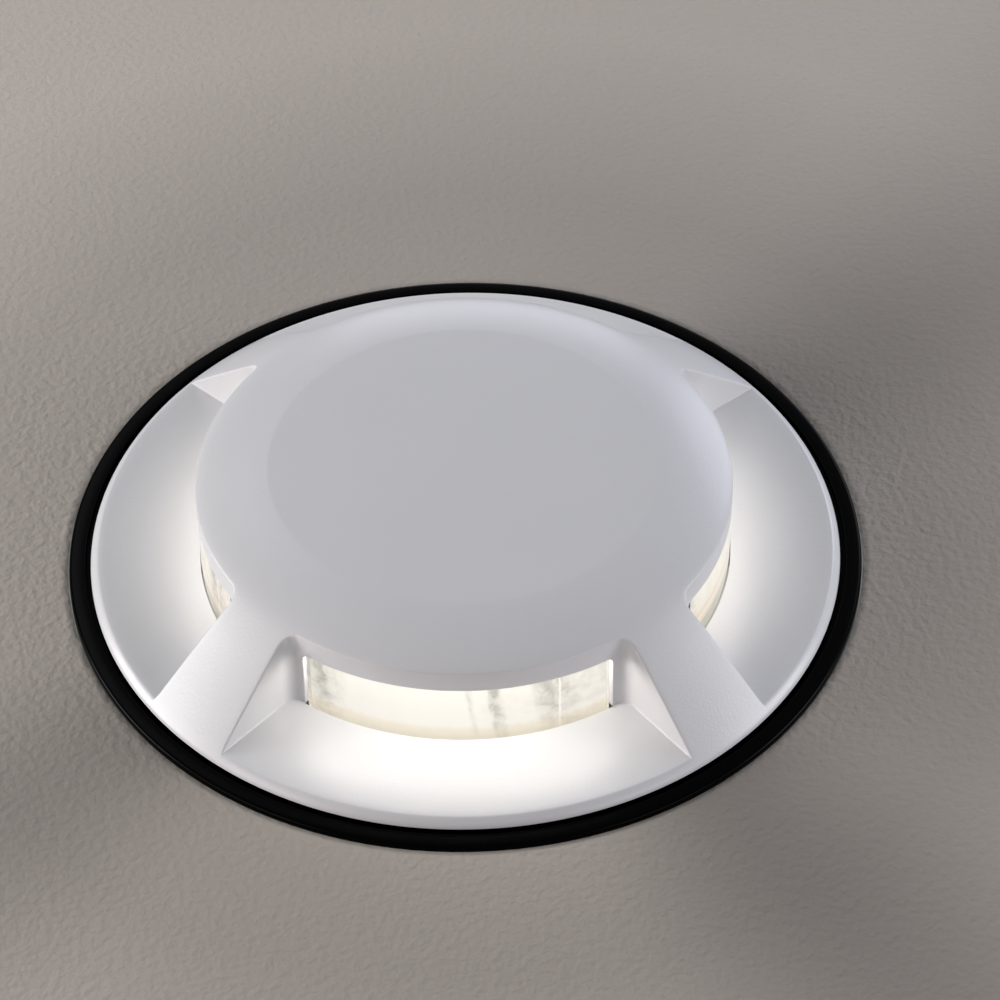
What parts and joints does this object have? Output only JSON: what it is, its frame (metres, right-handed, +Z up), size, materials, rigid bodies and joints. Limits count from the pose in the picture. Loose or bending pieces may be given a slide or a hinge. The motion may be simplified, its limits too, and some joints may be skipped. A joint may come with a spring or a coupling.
{
  "type": "recessed step light",
  "caption": "Round recessed ground and step light: white domed cover with side windows over a clear lens, in a black flanged installation sleeve.",
  "frame": {"origin": "on the light's axis at the underside of the sleeve's collar, the level of the paving", "axes": "+Z up out of the paving along the axis; the four windows face +X, +Y, -X and -Y"},
  "size_m": [0.127, 0.127, 0.1314],
  "materials": {
    "powder_coat_white": "fine orange-peel powder coat",
    "sleeve_plastic": "moulded, glossy on the ring",
    "rubber_black": "matt EPDM",
    "stainless": "machined stainless steel",
    "lens_clear": "clear pressed glass",
    "silicone_red": "matt silicone",
    "deflector_white": "matt white moulding",
    "board_white": "white solder mask",
    "led_phosphor": "yellow phosphor in a white package",
    "thermal_pad": "soft thermal pad",
    "connector_ivory": "moulded nylon",
    "lead_red": "silicone-insulated lead",
    "lead_blue": "PVC-insulated lead",
    "die_cast": "shot-blasted die casting",
    "driver_case": "potted black case",
    "brass": "turned brass",
    "nylon_black": "moulded nylon",
    "spring_steel": "rolled spring steel"
  },
  "bodies": {
    "sleeve": {"sleeve_collar": "sleeve_plastic", "sleeve_barrel": "sleeve_plastic", "sleeve_base": "sleeve_plastic", "entry_plugs": "rubber_black"},
    "rim_gasket": {"rim_gasket": "rubber_black"},
    "head": {"cover": "powder_coat_white", "cover_screws": "stainless", "lens": "lens_clear", "lens_gasket": "silicone_red", "deflector": "deflector_white", "deflector_screw": "stainless", "led_board": "board_white", "led_chips": "led_phosphor", "board_screws": "stainless", "thermal_pad": "thermal_pad", "board_connector": "connector_ivory", "deck_grommet": "rubber_black", "led_leads": "lead_red", "housing_plate": "die_cast", "housing_cup": "die_cast", "cooling_ribs": "die_cast", "driver": "driver_case", "driver_screws": "stainless", "terminal_block": "connector_ivory", "terminal_screws": "brass", "input_leads": "lead_blue", "lid": "die_cast", "lid_gasket": "silicone_red", "lid_screws": "stainless", "vent_plug": "nylon_black", "vent_seal": "silicone_red", "gland_body": "nylon_black", "gland_oring": "silicone_red", "gland_locknut": "nylon_black", "gland_seal": "rubber_black", "gland_nut": "nylon_black", "clip_bracket_right": "stainless", "clip_bracket_left": "stainless", "clip_pin_right": "stainless", "clip_pin_left": "stainless", "clip_spring_right": "spring_steel", "clip_spring_left": "spring_steel", "clip_screws": "stainless"},
    "clip_arm_right": {"clip_arm_right": "spring_steel"},
    "clip_arm_left": {"clip_arm_left": "spring_steel"}
  },
  "joints": [
    {"name": "head_lift", "type": "slide", "parent": "sleeve", "child": "rim_gasket", "axis": [0, 0, 1], "range_m": [0, 0.08]},
    {"name": "head_aim", "type": "hinge", "parent": "rim_gasket", "child": "head", "pos_m": [0, 0, 0.002], "axis": [0, 0, 1], "continuous": true},
    {"name": "clip_right_fold", "type": "hinge", "parent": "head", "child": "clip_arm_right", "pos_m": [0.0482, 0, -0.0202], "axis": [0, 1, 0], "range_deg": [0, 8], "stiffness_Nm_per_rad": 0.3, "springref_deg": -20.05},
    {"name": "clip_left_fold", "type": "hinge", "parent": "head", "child": "clip_arm_left", "pos_m": [-0.0482, 0, -0.0202], "axis": [0, -1, 0], "range_deg": [0, 8], "stiffness_Nm_per_rad": 0.3, "springref_deg": -20.05}
  ]
}
